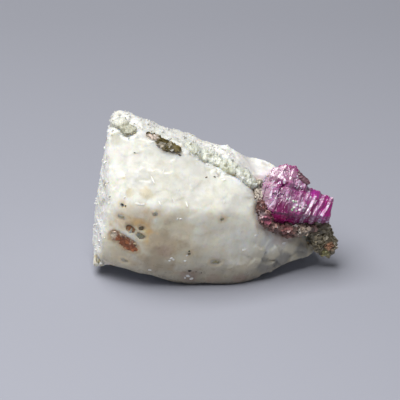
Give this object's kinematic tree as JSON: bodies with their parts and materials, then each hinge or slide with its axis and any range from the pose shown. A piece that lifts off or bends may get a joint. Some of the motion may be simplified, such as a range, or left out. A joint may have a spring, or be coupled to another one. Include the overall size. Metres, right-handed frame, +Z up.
{
  "type": "ruby in matrix",
  "caption": "Mineral specimen: a tapered six-sided ruby crystal grown into the narrow end of a broken white marble block, with mica at its root and tip.",
  "frame": {"origin": "centre of the stone's overall width and depth, at the height of the flat it rests on", "axes": "+X from the block's broad end towards the ruby, -Y towards the stained front, +Z up"},
  "size_m": [0.0494, 0.0266, 0.0321],
  "materials": {
    "marble": "waxy, translucent, sugary where broken",
    "ruby": "glassy with bright stepped facets",
    "rim_mica": "scaly, dull with glinting flakes",
    "tip_mica": "scaly, dull with glinting flakes",
    "dark_mica": "glinting flakes",
    "red_mica": "satin",
    "grey_mica": "pearly",
    "green_mica": "satin",
    "pale_mica": "satin"
  },
  "bodies": {
    "root": {"marble_matrix": "marble", "ruby_crystal": "ruby", "mica_rim": "rim_mica", "mica_knot_at_tip": "tip_mica", "dark_mica_flake": "dark_mica", "red_mica_flake": "red_mica", "grey_mica_patch": "grey_mica", "grey_mica_band": "grey_mica", "brown_rind_flake": "rim_mica", "mica_grain_1": "red_mica", "mica_grain_2": "dark_mica", "mica_grain_3": "pale_mica", "mica_grain_4": "pale_mica", "mica_grain_5": "green_mica", "mica_grain_6": "green_mica", "mica_grain_7": "dark_mica", "mica_grain_8": "pale_mica", "mica_grain_9": "pale_mica", "mica_grain_10": "red_mica", "mica_grain_11": "dark_mica", "mica_grain_12": "green_mica"}
  },
  "joints": []
}
